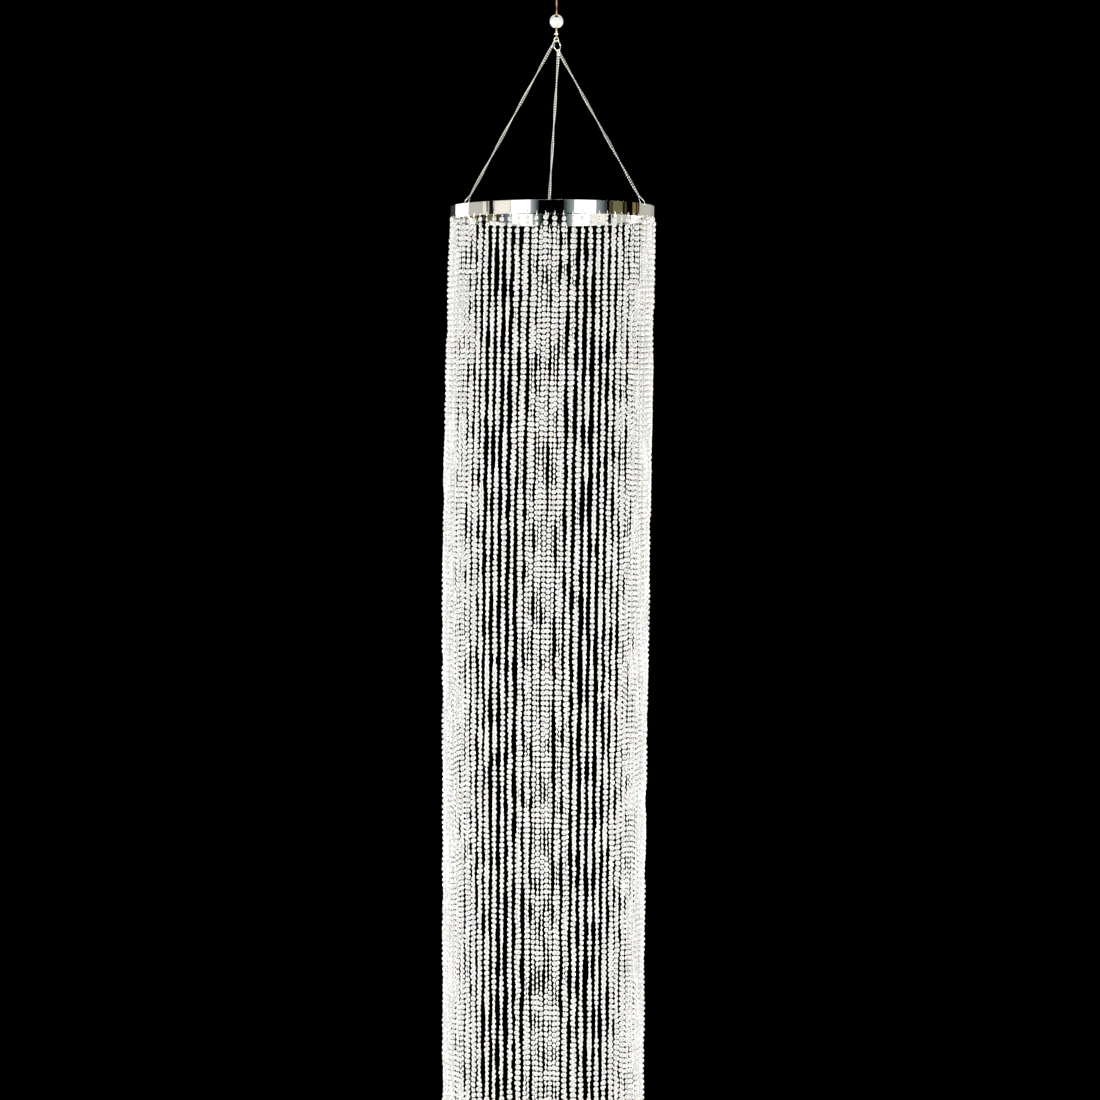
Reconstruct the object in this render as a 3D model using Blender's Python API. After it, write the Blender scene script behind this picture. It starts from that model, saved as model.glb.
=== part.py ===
"""Bead curtain column: a chrome ring hung from one cord by three chains, with 72 strands of beads.

Metres, +Z up, front towards -Y. The origin is where the cord's loop bears on whatever holds it up,
and the whole curtain hangs below it.
"""

import math

import bmesh
import bpy
from mathutils import Matrix, Vector

# Ring: a rolled steel band, with its centre a little left of the cord, as it hangs
RING_RADIUS = 0.15275
RING_WALL = 0.001
RING_TOP = -0.3525
RING_HEIGHT = 0.0191
RING_CENTRE_X = -0.0033
# The ring hangs a little out of level, lower at its left
RING_SLOPE = 0.0105
MARGIN_HEIGHT = 0.0072
GAP = 0.0003

# Strands: one for each small hole in the ring's lower margin
STRANDS = 72
STRANDS_IN_GROUP = 6
DROP = 1.83
BEAD = 0.0074
BEAD_TOP = 0.0030
NECK = 0.0016
SHOULDER = 0.0025
STATIONS = (0.010, 0.12, 0.24, 0.36, 0.48, 0.58, 0.70, 0.84, 1.02, 1.20, 1.50, 1.8275)
SWAY = 0.0007

# How the column as a whole hangs: bowed to the left and out at one depth, straight far below it
BOW_DEPTH = 0.58
BOW_LEFT = 0.0043
BOW_BELOW = 0.90
SPREAD = 0.0022
SPREAD_BELOW = 0.42

# Chains: flat twisted curb chain, and the open wire links at its ends
CHAIN_WIDE = 0.0038
CHAIN_THICK = 0.0021
CHAIN_TWIST_LENGTH = 0.062
CHAIN_STATION = 0.0095
CHAIN_HOLE_RADIUS = 0.0018
CHAIN_HOLE_DROP = 0.0027
LINK_WIRE = 0.0005
LINK_HALF_WIDTH = 0.0015
SHORT_LINK = 0.0052
LONG_LINK = 0.0128
RING_LINK = 0.0160
RING_LINK_HALF_WIDTH = 0.0037

# Rings under the cord, each turned to hang in the next
TOP_RING_WIRE = 0.00065
TOP_RING_TOP = -0.0995
TOP_RING_HEIGHT = 0.0062
TOP_RING_TOP_WIDTH = 0.0026
TOP_RING_LOW_WIDTH = 0.0050
TOP_RING_TURN = -35.0
PEAR_WIRE = 0.0006
PEAR_LENGTH = 0.0156
PEAR_TOP_WIDTH = 0.0042
PEAR_LOW_WIDTH = 0.0084
PEAR_POINTED = 0.3
PEAR_TURN = 35.0
PEAR_LEAN = 17.0
JUMP_WIRE = 0.00055
JUMP_RADIUS = 0.0028
JUMP_SPREAD = 30.0
LEFT_HOOK_PLACE = 215
HOOK_CLEARANCE = 0.00045

# Cord, ball and crimp
CORD_RADIUS = 0.0009
LOOP_HEIGHT = 0.031
LOOP_KNOT_WIDTH = 0.0020
LOOP_TOP_WIDTH = 0.0110
KNOT_RADIUS = 0.0033
BALL_RADIUS = 0.010
BALL_CENTRE = Vector((0.0, 0.0010, -0.0759))
BALL_BORE = 0.0018
BALL_BORE_TILT = 22.5
BALL_BORE_OFFSET = 0.00383
CRIMP_TOP = -0.0909
CRIMP_BOTTOM = -0.0959
CRIMP_RADIUS = 0.0027
CRIMP_BORE = 0.0013
EYE_RADIUS = 0.0023
EYE_WIRE = 0.0007
EYE_CENTRE = -0.0991
CORD_STEP = 0.002
# The cord's route from the knot through the ball into the crimp
CORD_ROUTE = (
    (0.0, 0.0, -0.0380),
    (0.0, 0.0, -0.0440),
    (0.0, -0.0010, -0.0500),
    (0.0, -0.0029, -0.0570),
    (0.0, -0.0050, -0.0635),
    (0.0, -0.0057, -0.0672),
    (0.0, -0.0052, -0.0698),
    (0.0, -0.0040, -0.0739),
    (0.0, -0.0015, -0.0799),
    (0.0, 0.0004, -0.0845),
    (0.0, 0.0007, -0.0868),
    (0.0, 0.0003, -0.0890),
    (0.0, 0.0, -0.0912),
    (0.0, 0.0, -0.0932),
)

STEP = 2 * math.pi / STRANDS
FRONT = -math.pi / 2 - 0.22 * STEP
RING_MIDDLE = RING_RADIUS - RING_WALL / 2
SQUARE = math.sqrt(2)
SLOPED = Matrix((
    (1.0, 0.0, 0.0, 0.0),
    (0.0, 1.0, 0.0, 0.0),
    (RING_SLOPE, 0.0, 1.0, 0.0),
    (0.0, 0.0, 0.0, 1.0),
))


def clear_scene():
    for old in list(bpy.data.objects):
        bpy.data.objects.remove(old)


def make_material(name, colour, roughness, metallic, transmission=0.0):
    material = bpy.data.materials.new(name)
    material.use_nodes = True
    shader = material.node_tree.nodes["Principled BSDF"]
    shader.inputs["Base Color"].default_value = (*colour, 1.0)
    shader.inputs["Roughness"].default_value = roughness
    shader.inputs["Metallic"].default_value = metallic
    shader.inputs["Transmission Weight"].default_value = transmission
    return material


def make_object(name, bm, material, smooth_degrees=None):
    """Makes a closed mesh object of bm, faces out, smooth where its edges turn less than smooth_degrees."""
    bmesh.ops.recalc_face_normals(bm, faces=bm.faces)
    mesh = bpy.data.meshes.new(name)
    bm.to_mesh(mesh)
    bm.free()
    mesh.materials.append(material)
    if smooth_degrees is not None:
        mesh.shade_smooth()
        mesh.set_sharp_from_angle(angle=math.radians(smooth_degrees))
    made = bpy.data.objects.new(name, mesh)
    bpy.context.scene.collection.objects.link(made)
    return made


def as_tool(made):
    """Marks an object as a cutter or an operand, which isn't a piece of the curtain."""
    made.hide_render = True
    made.display_type = "WIRE"
    return made


def add_boolean(made, tool, operation):
    modifier = made.modifiers.new(operation.lower(), "BOOLEAN")
    modifier.operation = operation
    modifier.solver = "EXACT"
    modifier.object = tool


def frame_at(centre, side, along, half_side, half_other):
    """A matrix at centre with Z along and X towards side, which scales a section's two half sizes."""
    z = along.normalized()
    x = (side - z * side.dot(z)).normalized()
    y = z.cross(x)
    matrix = Matrix((x * half_side, y * half_other, z)).transposed().to_4x4()
    matrix.translation = centre
    return matrix


def extrude_through(bm, face, frames, keep_first=False):
    """Extrudes a face that lies in the first frame through the others, and returns the last face."""
    keep = keep_first
    for before, after in zip(frames, frames[1:]):
        grown = bmesh.ops.extrude_face_region(bm, geom=[face])["geom"]
        if not keep:
            bmesh.ops.delete(bm, geom=[face], context="FACES_ONLY")
        keep = False
        corners = [item for item in grown if isinstance(item, bmesh.types.BMVert)]
        face = next(item for item in grown if isinstance(item, bmesh.types.BMFace))
        bmesh.ops.transform(bm, matrix=after @ before.inverted(), verts=corners)
    return face


def sweep(bm, frames, sides, closed=False):
    """Carries a section that fits a circle of radius 1 through the frames, and round again if closed."""
    section = bmesh.ops.create_circle(
        bm, cap_ends=True, segments=sides, radius=1.0, matrix=frames[0]
    )["verts"]
    first = section[0].link_faces[0]
    path = frames + frames[:1] if closed else frames
    last = extrude_through(bm, first, path, keep_first=True)
    if closed:
        ends = list(first.verts) + list(last.verts)
        bmesh.ops.delete(bm, geom=[first, last], context="FACES_ONLY")
        bmesh.ops.remove_doubles(bm, verts=ends, dist=1e-6)


def wire(bm, points, normal, radius, sides=6, closed=True):
    """A wire of round section along a line in one plane, joined to its own start if closed."""
    count = len(points)
    frames = []
    for i, point in enumerate(points):
        before = i - 1 if closed else max(i - 1, 0)
        after = (i + 1) % count if closed else min(i + 1, count - 1)
        frames.append(frame_at(point, normal, points[after] - points[before], radius, radius))
    sweep(bm, frames, sides, closed=closed)


def link_line(tip, along, across, length, half_width, arc_steps=6):
    """The closed centreline of a long link that starts at tip and runs along for its length."""
    near = tip + along * half_width
    far = tip + along * (length - half_width)
    points = []
    for centre, way in ((near, -1), (far, 1)):
        for i in range(arc_steps + 1):
            angle = math.pi * i / arc_steps
            sideways = -way * math.cos(angle) * half_width
            lengthways = way * math.sin(angle) * half_width
            points.append(centre + across * sideways + along * lengthways)
    return points


def drop_line(top, down, across, length, top_width, low_width, pointed=0.0, steps=18):
    """The centreline of a drop-shaped ring, round where its two widths and half its length are equal."""
    points = []
    for i in range(steps):
        angle = 2 * math.pi * i / steps
        depth = length * (1 - math.cos(angle)) / 2
        low = math.sin(angle / 2) ** 2
        width = low_width * low + top_width * (1 - low)
        width *= abs(math.cos(angle / 2)) ** pointed
        points.append(top + down * depth + across * (width * math.sin(angle)))
    return points


def column_shift(depth):
    """How far the column hangs to one side, and how much wider it is, at a depth under the ring."""
    if depth < BOW_DEPTH:
        share = math.sin(math.pi / 2 * depth / BOW_DEPTH)
        return -BOW_LEFT * share, SPREAD * share
    below = depth - BOW_DEPTH
    bow = math.cos(math.pi / 2 * min(below / BOW_BELOW, 1.0))
    return -BOW_LEFT * bow, SPREAD * max(1 - below / SPREAD_BELOW, 0.0)


def strand_point(strand, depth):
    """The middle of a strand at a depth under the ring, in the ring's own frame."""
    azimuth = FRONT + (strand + 0.5) * STEP
    shift, wider = column_shift(depth)
    swing = SWAY * math.sin(7.0 * depth + 2.4 * strand) * min(depth / 0.1, 1.0)
    radius = RING_MIDDLE + wider
    return Vector((
        math.cos(azimuth) * radius - math.sin(azimuth) * swing + shift,
        math.sin(azimuth) * radius + math.cos(azimuth) * swing,
        -RING_HEIGHT - depth,
    ))


def chain_azimuths():
    """Where the three chains meet the ring: front left, front right and back, half a strand round."""
    return {
        "left": math.radians(210) + STEP / 2,
        "right": math.radians(330) + STEP / 2,
        "back": math.radians(90) + STEP / 2,
    }


def build_ring(material):
    """The upper part of the ring, above the margin that holds the strands, with the chains' three holes."""
    bm = bmesh.new()
    half_facet = STEP / 4
    corners = (
        (RING_RADIUS, 0.0),
        (RING_RADIUS, MARGIN_HEIGHT - RING_HEIGHT),
        (RING_RADIUS - RING_WALL, MARGIN_HEIGHT - RING_HEIGHT),
        (RING_RADIUS - RING_WALL, 0.0),
    )
    start = Matrix.Rotation(half_facet, 4, "Z")
    profile = [bm.verts.new(start @ Vector((r, 0.0, z))) for r, z in corners]
    edges = [bm.edges.new((a, b)) for a, b in zip(profile, profile[1:] + profile[:1])]
    bmesh.ops.spin(
        bm, geom=profile + edges, cent=(0, 0, 0), axis=(0, 0, 1), angle=2 * math.pi,
        steps=2 * STRANDS, use_merge=True,
    )
    bmesh.ops.transform(bm, matrix=SLOPED, verts=bm.verts)
    ring = make_object("ring_band", bm, material, 30)
    ring.location = (RING_CENTRE_X, 0.0, RING_TOP)

    bm = bmesh.new()
    for azimuth in chain_azimuths().values():
        place = (
            Matrix.Rotation(azimuth, 4, "Z")
            @ Matrix.Translation((RING_MIDDLE, 0.0, -CHAIN_HOLE_DROP))
            @ Matrix.Rotation(math.pi / 2, 4, "Y")
        )
        bmesh.ops.create_cone(
            bm, cap_ends=True, segments=12, radius1=CHAIN_HOLE_RADIUS, radius2=CHAIN_HOLE_RADIUS,
            depth=6 * RING_WALL, matrix=place,
        )
    bmesh.ops.transform(bm, matrix=SLOPED, verts=bm.verts)
    holes = as_tool(make_object("ring_holes", bm, material))
    holes.location = ring.location
    add_boolean(ring, holes, "DIFFERENCE")


def build_strand_group(index, material):
    """A length of the ring's lower margin with the strands that hang from it."""
    bm = bmesh.new()
    first = index * STRANDS_IN_GROUP
    strands = range(first, first + STRANDS_IN_GROUP)
    half_gap = GAP / 2 / RING_MIDDLE
    half_neck = NECK / 2 / RING_MIDDLE
    azimuths = [FRONT + first * STEP + half_gap]
    for strand in strands:
        middle = FRONT + (strand + 0.5) * STEP
        azimuths += [middle - half_neck, middle + half_neck]
    azimuths.append(FRONT + (first + STRANDS_IN_GROUP) * STEP - half_gap)

    height = MARGIN_HEIGHT - GAP
    middle_z = -RING_HEIGHT + height / 2
    quarter_turn = Matrix.Rotation(math.pi / 4, 4, "Z")
    frames = []
    for azimuth in azimuths:
        outward = Vector((math.cos(azimuth), math.sin(azimuth), 0.0))
        onward = Vector((-math.sin(azimuth), math.cos(azimuth), 0.0))
        centre = outward * RING_MIDDLE + Vector((0.0, 0.0, middle_z))
        frame = frame_at(centre, outward, onward, SQUARE * RING_WALL / 2, SQUARE * height / 2)
        frames.append(frame @ quarter_turn)
    sweep(bm, frames, 4)
    bmesh.ops.recalc_face_normals(bm, faces=bm.faces)

    for strand in strands:
        root = strand_point(strand, 0.0)
        face = min(bm.faces, key=lambda f: (f.calc_center_median() - root).length)
        azimuth = FRONT + (strand + 0.5) * STEP
        outward = Vector((math.cos(azimuth), math.sin(azimuth), 0.0))
        across = BEAD / 2 / SQUARE
        sections = [
            (0.0, RING_WALL / 2, NECK / 2),
            (BEAD_TOP, RING_WALL / 2, NECK / 2),
            (BEAD_TOP + SHOULDER, across, across),
        ]
        sections += [(depth, across, across) for depth in STATIONS]
        sections.append((DROP, NECK / 2, NECK / 2))
        down = Vector((0.0, 0.0, -1.0))
        frames = [
            frame_at(strand_point(strand, depth), outward, down, wide, thick)
            for depth, wide, thick in sections
        ]
        extrude_through(bm, face, frames)
    bmesh.ops.transform(bm, matrix=SLOPED, verts=bm.verts)
    group = make_object(f"strand_group_{index + 1:02d}", bm, material)
    group.location = (RING_CENTRE_X, 0.0, RING_TOP)


def ring_frame(turn):
    """The sideways and the facing direction of a small ring turned about the vertical."""
    across = Vector((math.cos(math.radians(turn)), math.sin(math.radians(turn)), 0.0))
    return across, across.cross(Vector((0.0, 0.0, 1.0)))


def pear_axes():
    """The pear ring's downward, sideways and facing directions. It leans towards its two chains."""
    level, facing = ring_frame(PEAR_TURN)
    lean = math.radians(PEAR_LEAN)
    down = level * math.sin(lean) - Vector((0.0, 0.0, math.cos(lean)))
    return down, facing.cross(down), facing


def pear_top():
    """The top of the pear ring's own line, so that its round top sits evenly over the top ring's wire."""
    down, _, _ = pear_axes()
    round_radius = PEAR_TOP_WIDTH**2 / (PEAR_LENGTH / 2)
    hook = PEAR_WIRE + TOP_RING_WIRE + HOOK_CLEARANCE
    wire_height = TOP_RING_TOP - TOP_RING_HEIGHT
    return Vector((0.0, 0.0, wire_height - round_radius + hook)) - down * round_radius


def jump_centre():
    down, _, _ = pear_axes()
    hook = PEAR_WIRE + JUMP_WIRE + HOOK_CLEARANCE
    return pear_top() + down * (PEAR_LENGTH - hook + JUMP_RADIUS)


def build_small_rings(material):
    """The top ring, the pear ring that hangs in it and the jump ring that hangs in the pear ring."""
    down = Vector((0.0, 0.0, -1.0))
    across, facing = ring_frame(TOP_RING_TURN)
    bm = bmesh.new()
    top = Vector((0.0, 0.0, TOP_RING_TOP))
    line = drop_line(top, down, across, TOP_RING_HEIGHT, TOP_RING_TOP_WIDTH, TOP_RING_LOW_WIDTH)
    wire(bm, line, facing, TOP_RING_WIRE)
    make_object("top_ring", bm, material, 60)

    down, across, facing = pear_axes()
    bm = bmesh.new()
    line = drop_line(
        pear_top(), down, across, PEAR_LENGTH, PEAR_TOP_WIDTH, PEAR_LOW_WIDTH, PEAR_POINTED
    )
    wire(bm, line, facing, PEAR_WIRE)
    make_object("pear_ring", bm, material, 60)

    bm = bmesh.new()
    start = jump_centre() - down * JUMP_RADIUS
    line = drop_line(start, down, facing, 2 * JUMP_RADIUS, JUMP_RADIUS, JUMP_RADIUS, steps=14)
    wire(bm, line, across, JUMP_WIRE)
    make_object("jump_ring", bm, material, 60)


def chain_hooks():
    """For each chain, the point and direction of the wire it hooks on, and that wire's radius."""
    across, _ = ring_frame(TOP_RING_TURN)
    top = Vector((0.0, 0.0, TOP_RING_TOP))
    down = Vector((0.0, 0.0, -1.0))
    line = drop_line(
        top, down, across, TOP_RING_HEIGHT, TOP_RING_TOP_WIDTH, TOP_RING_LOW_WIDTH, steps=360
    )
    tangent = line[LEFT_HOOK_PLACE + 1] - line[LEFT_HOOK_PLACE - 1]
    hooks = {"left": (line[LEFT_HOOK_PLACE], tangent, TOP_RING_WIRE)}

    down, _, facing = pear_axes()
    for name, sign in (("right", -1), ("back", 1)):
        angle = math.radians(sign * JUMP_SPREAD)
        outward = facing * -math.sin(angle) + down * math.cos(angle)
        tangent = facing * math.cos(angle) + down * math.sin(angle)
        hooks[name] = (jump_centre() + outward * JUMP_RADIUS, tangent, JUMP_WIRE)
    return hooks


def build_chain(name, material):
    """One chain as a flat twisted strip, with the open links that hook on its ring and in the band."""
    hook, wire_way, hook_wire = chain_hooks()[name]
    azimuth = chain_azimuths()[name]
    outward = Vector((math.cos(azimuth), math.sin(azimuth), 0.0))
    hole = SLOPED @ (outward * RING_MIDDLE) + Vector((RING_CENTRE_X, 0.0, RING_TOP - CHAIN_HOLE_DROP))
    down = (hole - hook).normalized()

    top_link = LONG_LINK if name == "left" else SHORT_LINK
    across = wire_way.cross(down).normalized()
    tip = hook - down * (hook_wire + LINK_WIRE + HOOK_CLEARANCE)
    top_line = link_line(tip, down, across, top_link, LINK_HALF_WIDTH)
    radial = (outward - down * outward.dot(down)).normalized()
    ring_line = link_line(hole, -down, radial, RING_LINK, RING_LINK_HALF_WIDTH)

    start = tip + down * top_link
    finish = hole - down * RING_LINK
    length = (finish - start).length
    count = round(length / CHAIN_STATION)
    quarter_turn = Matrix.Rotation(math.pi / 4, 4, "Z")
    frames = []
    for i in range(count + 1):
        end = i in (0, count)
        wide = LINK_WIRE * 2 if end else CHAIN_WIDE
        thick = LINK_WIRE * 2 if end else CHAIN_THICK
        twist = Matrix.Rotation(math.pi * length * i / count / CHAIN_TWIST_LENGTH, 4, "Z")
        place = start + down * (length * i / count)
        centre = frame_at(place, across, down, 1.0, 1.0)
        size = Matrix.Diagonal((SQUARE * wide / 2, SQUARE * thick / 2, 1.0, 1.0))
        frames.append(centre @ twist @ size @ quarter_turn)

    bm = bmesh.new()
    sweep(bm, frames, 4)
    chain = make_object(f"chain_{name}", bm, material)
    for line, facing, part in (
        (top_line, down.cross(across), "top"),
        (ring_line, down.cross(radial), "ring"),
    ):
        bm = bmesh.new()
        wire(bm, line, facing, LINK_WIRE)
        add_boolean(chain, as_tool(make_object(f"{name}_{part}_link", bm, material)), "UNION")


def build_ball(material):
    """The ball, drilled off its centre, so that the cord goes in at its front and out underneath."""
    bm = bmesh.new()
    bmesh.ops.create_uvsphere(bm, u_segments=24, v_segments=14, radius=BALL_RADIUS)
    ball = make_object("ball", bm, material, 60)
    ball.location = BALL_CENTRE
    bm = bmesh.new()
    bmesh.ops.create_cone(
        bm, cap_ends=True, segments=12, radius1=BALL_BORE, radius2=BALL_BORE, depth=3 * BALL_RADIUS,
    )
    drill = as_tool(make_object("ball_drill", bm, material))
    tilt = math.radians(BALL_BORE_TILT)
    forward = Vector((0.0, -math.cos(tilt), -math.sin(tilt)))
    drill.location = BALL_CENTRE + forward * BALL_BORE_OFFSET
    drill.rotation_euler = (tilt, 0.0, 0.0)
    add_boolean(ball, drill, "DIFFERENCE")


def build_crimp(material):
    """A small drilled barrel that clamps the end of the cord."""
    middle = (CRIMP_TOP + CRIMP_BOTTOM) / 2
    half = (CRIMP_TOP - CRIMP_BOTTOM) / 2
    profile_points = [(CRIMP_BORE, half), (CRIMP_BORE, -half)]
    for share in (-1.0, -0.6, 0.0, 0.6, 1.0):
        bulge = CRIMP_RADIUS * (1 - 0.28 * share * share)
        profile_points.append((bulge, half * share))
    bm = bmesh.new()
    profile = [bm.verts.new((r, 0.0, z)) for r, z in profile_points]
    edges = [bm.edges.new((a, b)) for a, b in zip(profile, profile[1:] + profile[:1])]
    bmesh.ops.spin(
        bm, geom=profile + edges, cent=(0, 0, 0), axis=(0, 0, 1), angle=2 * math.pi,
        steps=16, use_merge=True,
    )
    make_object("crimp", bm, material, 40).location = (0.0, 0.0, middle)


def build_cord_eye(material):
    """The small loop of cord below the crimp that the top ring hangs in."""
    bm = bmesh.new()
    x = Vector((1.0, 0.0, 0.0))
    y = Vector((0.0, 1.0, 0.0))
    down = Vector((0.0, 0.0, -1.0))
    stem_top = (CRIMP_TOP + CRIMP_BOTTOM) / 2 - 0.0002
    stem_bottom = EYE_CENTRE + EYE_RADIUS
    frames = [
        frame_at(Vector((0.0, 0.0, z)), x, down, CORD_RADIUS, CORD_RADIUS)
        for z in (stem_top, stem_bottom)
    ]
    sweep(bm, frames, 8)
    eye = make_object("cord_eye", bm, material, 60)
    bm = bmesh.new()
    start = Vector((0.0, 0.0, EYE_CENTRE + EYE_RADIUS))
    line = drop_line(start, down, y, 2 * EYE_RADIUS, EYE_RADIUS, EYE_RADIUS, steps=14)
    wire(bm, line, x, EYE_WIRE)
    add_boolean(eye, as_tool(make_object("eye_loop", bm, material)), "UNION")


def build_hanging_loop(material):
    """The tied loop at the top of the cord, with its knot."""
    x = Vector((1.0, 0.0, 0.0))
    y = Vector((0.0, 1.0, 0.0))
    down = Vector((0.0, 0.0, -1.0))
    bm = bmesh.new()
    bmesh.ops.create_uvsphere(bm, u_segments=12, v_segments=8, radius=KNOT_RADIUS)
    loop = make_object("hanging_loop", bm, material, 60)
    loop.location = (0.0, 0.0, -LOOP_HEIGHT - KNOT_RADIUS)
    bottom = Vector((0.0, 0.0, -LOOP_HEIGHT - KNOT_RADIUS))
    height = LOOP_HEIGHT + KNOT_RADIUS + CORD_RADIUS
    line = drop_line(bottom, -down, x, height, LOOP_KNOT_WIDTH, LOOP_TOP_WIDTH, steps=22)[2:-1]
    ends = [bottom + x * side * KNOT_RADIUS * 0.4 - down * KNOT_RADIUS * 0.2 for side in (1, -1)]
    bm = bmesh.new()
    wire(bm, ends[:1] + line + ends[1:], y, CORD_RADIUS, closed=False)
    add_boolean(loop, as_tool(make_object("loop_wire", bm, material)), "UNION")


def smooth_route(route, step):
    """Points at even steps on a smooth curve through the route's own points."""
    knots = [Vector(point) for point in route]
    knots = [2 * knots[0] - knots[1]] + knots + [2 * knots[-1] - knots[-2]]
    fine = []
    for a, b, c, d in zip(knots, knots[1:], knots[2:], knots[3:]):
        for i in range(16):
            t = i / 16
            fine.append(0.5 * (
                2 * b + (c - a) * t + (2 * a - 5 * b + 4 * c - d) * t**2
                + (3 * b - a - 3 * c + d) * t**3
            ))
    fine.append(knots[-2])
    lengths = [0.0]
    for a, b in zip(fine, fine[1:]):
        lengths.append(lengths[-1] + (b - a).length)
    count = round(lengths[-1] / step)
    points = []
    place = 0
    for i in range(count + 1):
        wanted = lengths[-1] * i / count
        while place < len(fine) - 2 and lengths[place + 1] < wanted:
            place += 1
        share = (wanted - lengths[place]) / (lengths[place + 1] - lengths[place])
        points.append(fine[place].lerp(fine[place + 1], share))
    return points


def build_hanging_cord(material):
    curve = bpy.data.curves.new("hanging_cord", "CURVE")
    curve.dimensions = "3D"
    curve.bevel_depth = CORD_RADIUS
    curve.bevel_resolution = 2
    curve.use_fill_caps = True
    points = smooth_route(CORD_ROUTE, CORD_STEP)
    spline = curve.splines.new("POLY")
    spline.points.add(len(points) - 1)
    for place, point in zip(spline.points, points):
        place.co = (*point, 1.0)
    curve.materials.append(material)
    bpy.context.scene.collection.objects.link(bpy.data.objects.new("hanging_cord", curve))


def build_curtain():
    clear_scene()
    chrome = make_material("chrome", (0.80, 0.80, 0.80), 0.05, 1.0)
    steel = make_material("steel_wire", (0.75, 0.74, 0.72), 0.2, 1.0)
    beads = make_material("clear_beads", (0.95, 0.95, 0.97), 0.08, 0.0, 0.6)
    white = make_material("white_ball", (0.88, 0.88, 0.86), 0.35, 0.0)
    tan = make_material("tan_cord", (0.62, 0.38, 0.18), 0.7, 0.0)
    build_ring(chrome)
    for index in range(STRANDS // STRANDS_IN_GROUP):
        build_strand_group(index, beads)
    for name in ("left", "right", "back"):
        build_chain(name, steel)
    build_small_rings(steel)
    build_ball(white)
    build_crimp(steel)
    build_cord_eye(tan)
    build_hanging_loop(tan)
    build_hanging_cord(tan)


build_curtain()
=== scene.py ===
"""Bead curtain column: its finished pieces and their materials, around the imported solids.

Metres, +Z up, front towards -Y, with the origin at the top of the cord's loop.
"""

import math

import bmesh
import bpy
import numpy as np
from mathutils import Matrix, Vector


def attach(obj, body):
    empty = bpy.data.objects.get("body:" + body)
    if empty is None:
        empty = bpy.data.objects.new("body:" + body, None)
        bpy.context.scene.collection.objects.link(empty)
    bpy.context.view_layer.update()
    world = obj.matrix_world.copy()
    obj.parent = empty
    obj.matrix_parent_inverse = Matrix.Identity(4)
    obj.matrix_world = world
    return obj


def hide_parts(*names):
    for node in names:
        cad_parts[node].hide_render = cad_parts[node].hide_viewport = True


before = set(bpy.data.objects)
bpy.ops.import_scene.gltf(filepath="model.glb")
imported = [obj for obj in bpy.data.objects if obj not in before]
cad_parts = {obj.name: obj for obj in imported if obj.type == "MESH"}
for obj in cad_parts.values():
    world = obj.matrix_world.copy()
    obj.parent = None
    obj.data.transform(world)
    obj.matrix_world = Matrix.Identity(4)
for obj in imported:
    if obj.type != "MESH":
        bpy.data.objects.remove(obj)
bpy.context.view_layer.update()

# The ring, its chain holes and its hook holes
RING_RADIUS = 0.15275
RING_WALL = 0.001
RING_TOP = -0.3525
RING_HEIGHT = 0.0191
RING_SLOPE = 0.0105
RING_CENTRE = Vector((-0.0033, 0.0, RING_TOP))
RING_MIDDLE = RING_RADIUS - RING_WALL / 2
RING_BOTTOM = RING_TOP - RING_HEIGHT
RING_EASE = 0.00004
RING_SEGMENTS = 288
HOLE_SIDES = 14
CHAIN_HOLE_RADIUS = 0.0018
CHAIN_HOLE_DROP = 0.0027
HOOK_HOLE_RADIUS = 0.0009
HOOK_HOLE_HEIGHT = 0.0034

# The wire hooks, one at the top of each strand
HOOK_WIRE = 0.00033
HOOK_REACH = 0.0034
HOOK_TOP_WIDTH = 0.0017
HOOK_LOW_WIDTH = 0.0013
HOOK_SKEW_DEGREES = 9.0
HOOK_TWIST_DEGREES = 40.0

# The strands: flat round beads on a clear thread
STRANDS = 72
STRANDS_IN_GROUP = 6
BEADS = 222
BEAD_RADIUS = 0.0037
BEAD_HALF_THICK = 0.0014
TABLE_RADIUS = 0.0012
FIRST_BEAD = 0.0067
PITCH = 0.0082
THREAD = 0.0003
STEP = 2 * math.pi / STRANDS
FRONT = -math.pi / 2 - 0.22 * STEP
THREAD_START = 0.0026
THREAD_PARTS = 24

# How the strands differ and how their beads turn on them
SEED = 41
START_RANGE = (-0.0010, 0.0012)
PITCH_CHANGE = 0.005
TURN_KEPT = 0.80
TURN_DEGREES = 11.0
TILT_DEGREES = 3.5
LEAN_DEGREES = 2.5
BEAD_DRIFT = 0.00012
SWAY = 0.0007
SWAY_RATE = 7.0
SWAY_LAG = 2.4
SWAY_START = 0.1

# How far the column bows to the left and widens, by depth under the ring
BOW_DEPTH = 0.58
BOW_LEFT = 0.0043
BOW_BELOW = 0.90
SPREAD = 0.0022
SPREAD_BELOW = 0.42

# The chains and the small rings under the cord
CHAIN_LINKS_PITCH = 0.0042
CHAIN_WIRE = 0.00045
CHAIN_WIRE_WIDE = 0.00062
CHAIN_HALF_LONG = 0.0026
CHAIN_HALF_WIDE = 0.0013
CHAIN_TWIST_LENGTH = 0.074
CHAIN_FIRST_TURN = math.radians(20)
CHAIN_WOBBLE = math.radians(7)
CHAIN_DEGREES = {"left": 210, "right": 330, "back": 90}
CURB_STEPS = 12
CURB_SIDES = 5
CURB_TILT_DEGREES = 42.0
LINK_WIRE = 0.0005
LINK_LOW_WIDTH = 0.0015
LINK_TOP_WIDTH = LINK_LOW_WIDTH * 1.25
SHORT_LINK = 0.0052
LONG_LINK = 0.0128
RING_LINK = 0.0160
RING_LINK_TOP_WIDTH = LINK_LOW_WIDTH * 0.7
RING_LINK_LOW_WIDTH = 0.0037 * 1.15
TOP_RING_WIRE = 0.00065
TOP_RING_TOP = -0.0995
TOP_RING_HEIGHT = 0.0062
TOP_RING_TOP_WIDTH = 0.0026
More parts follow.
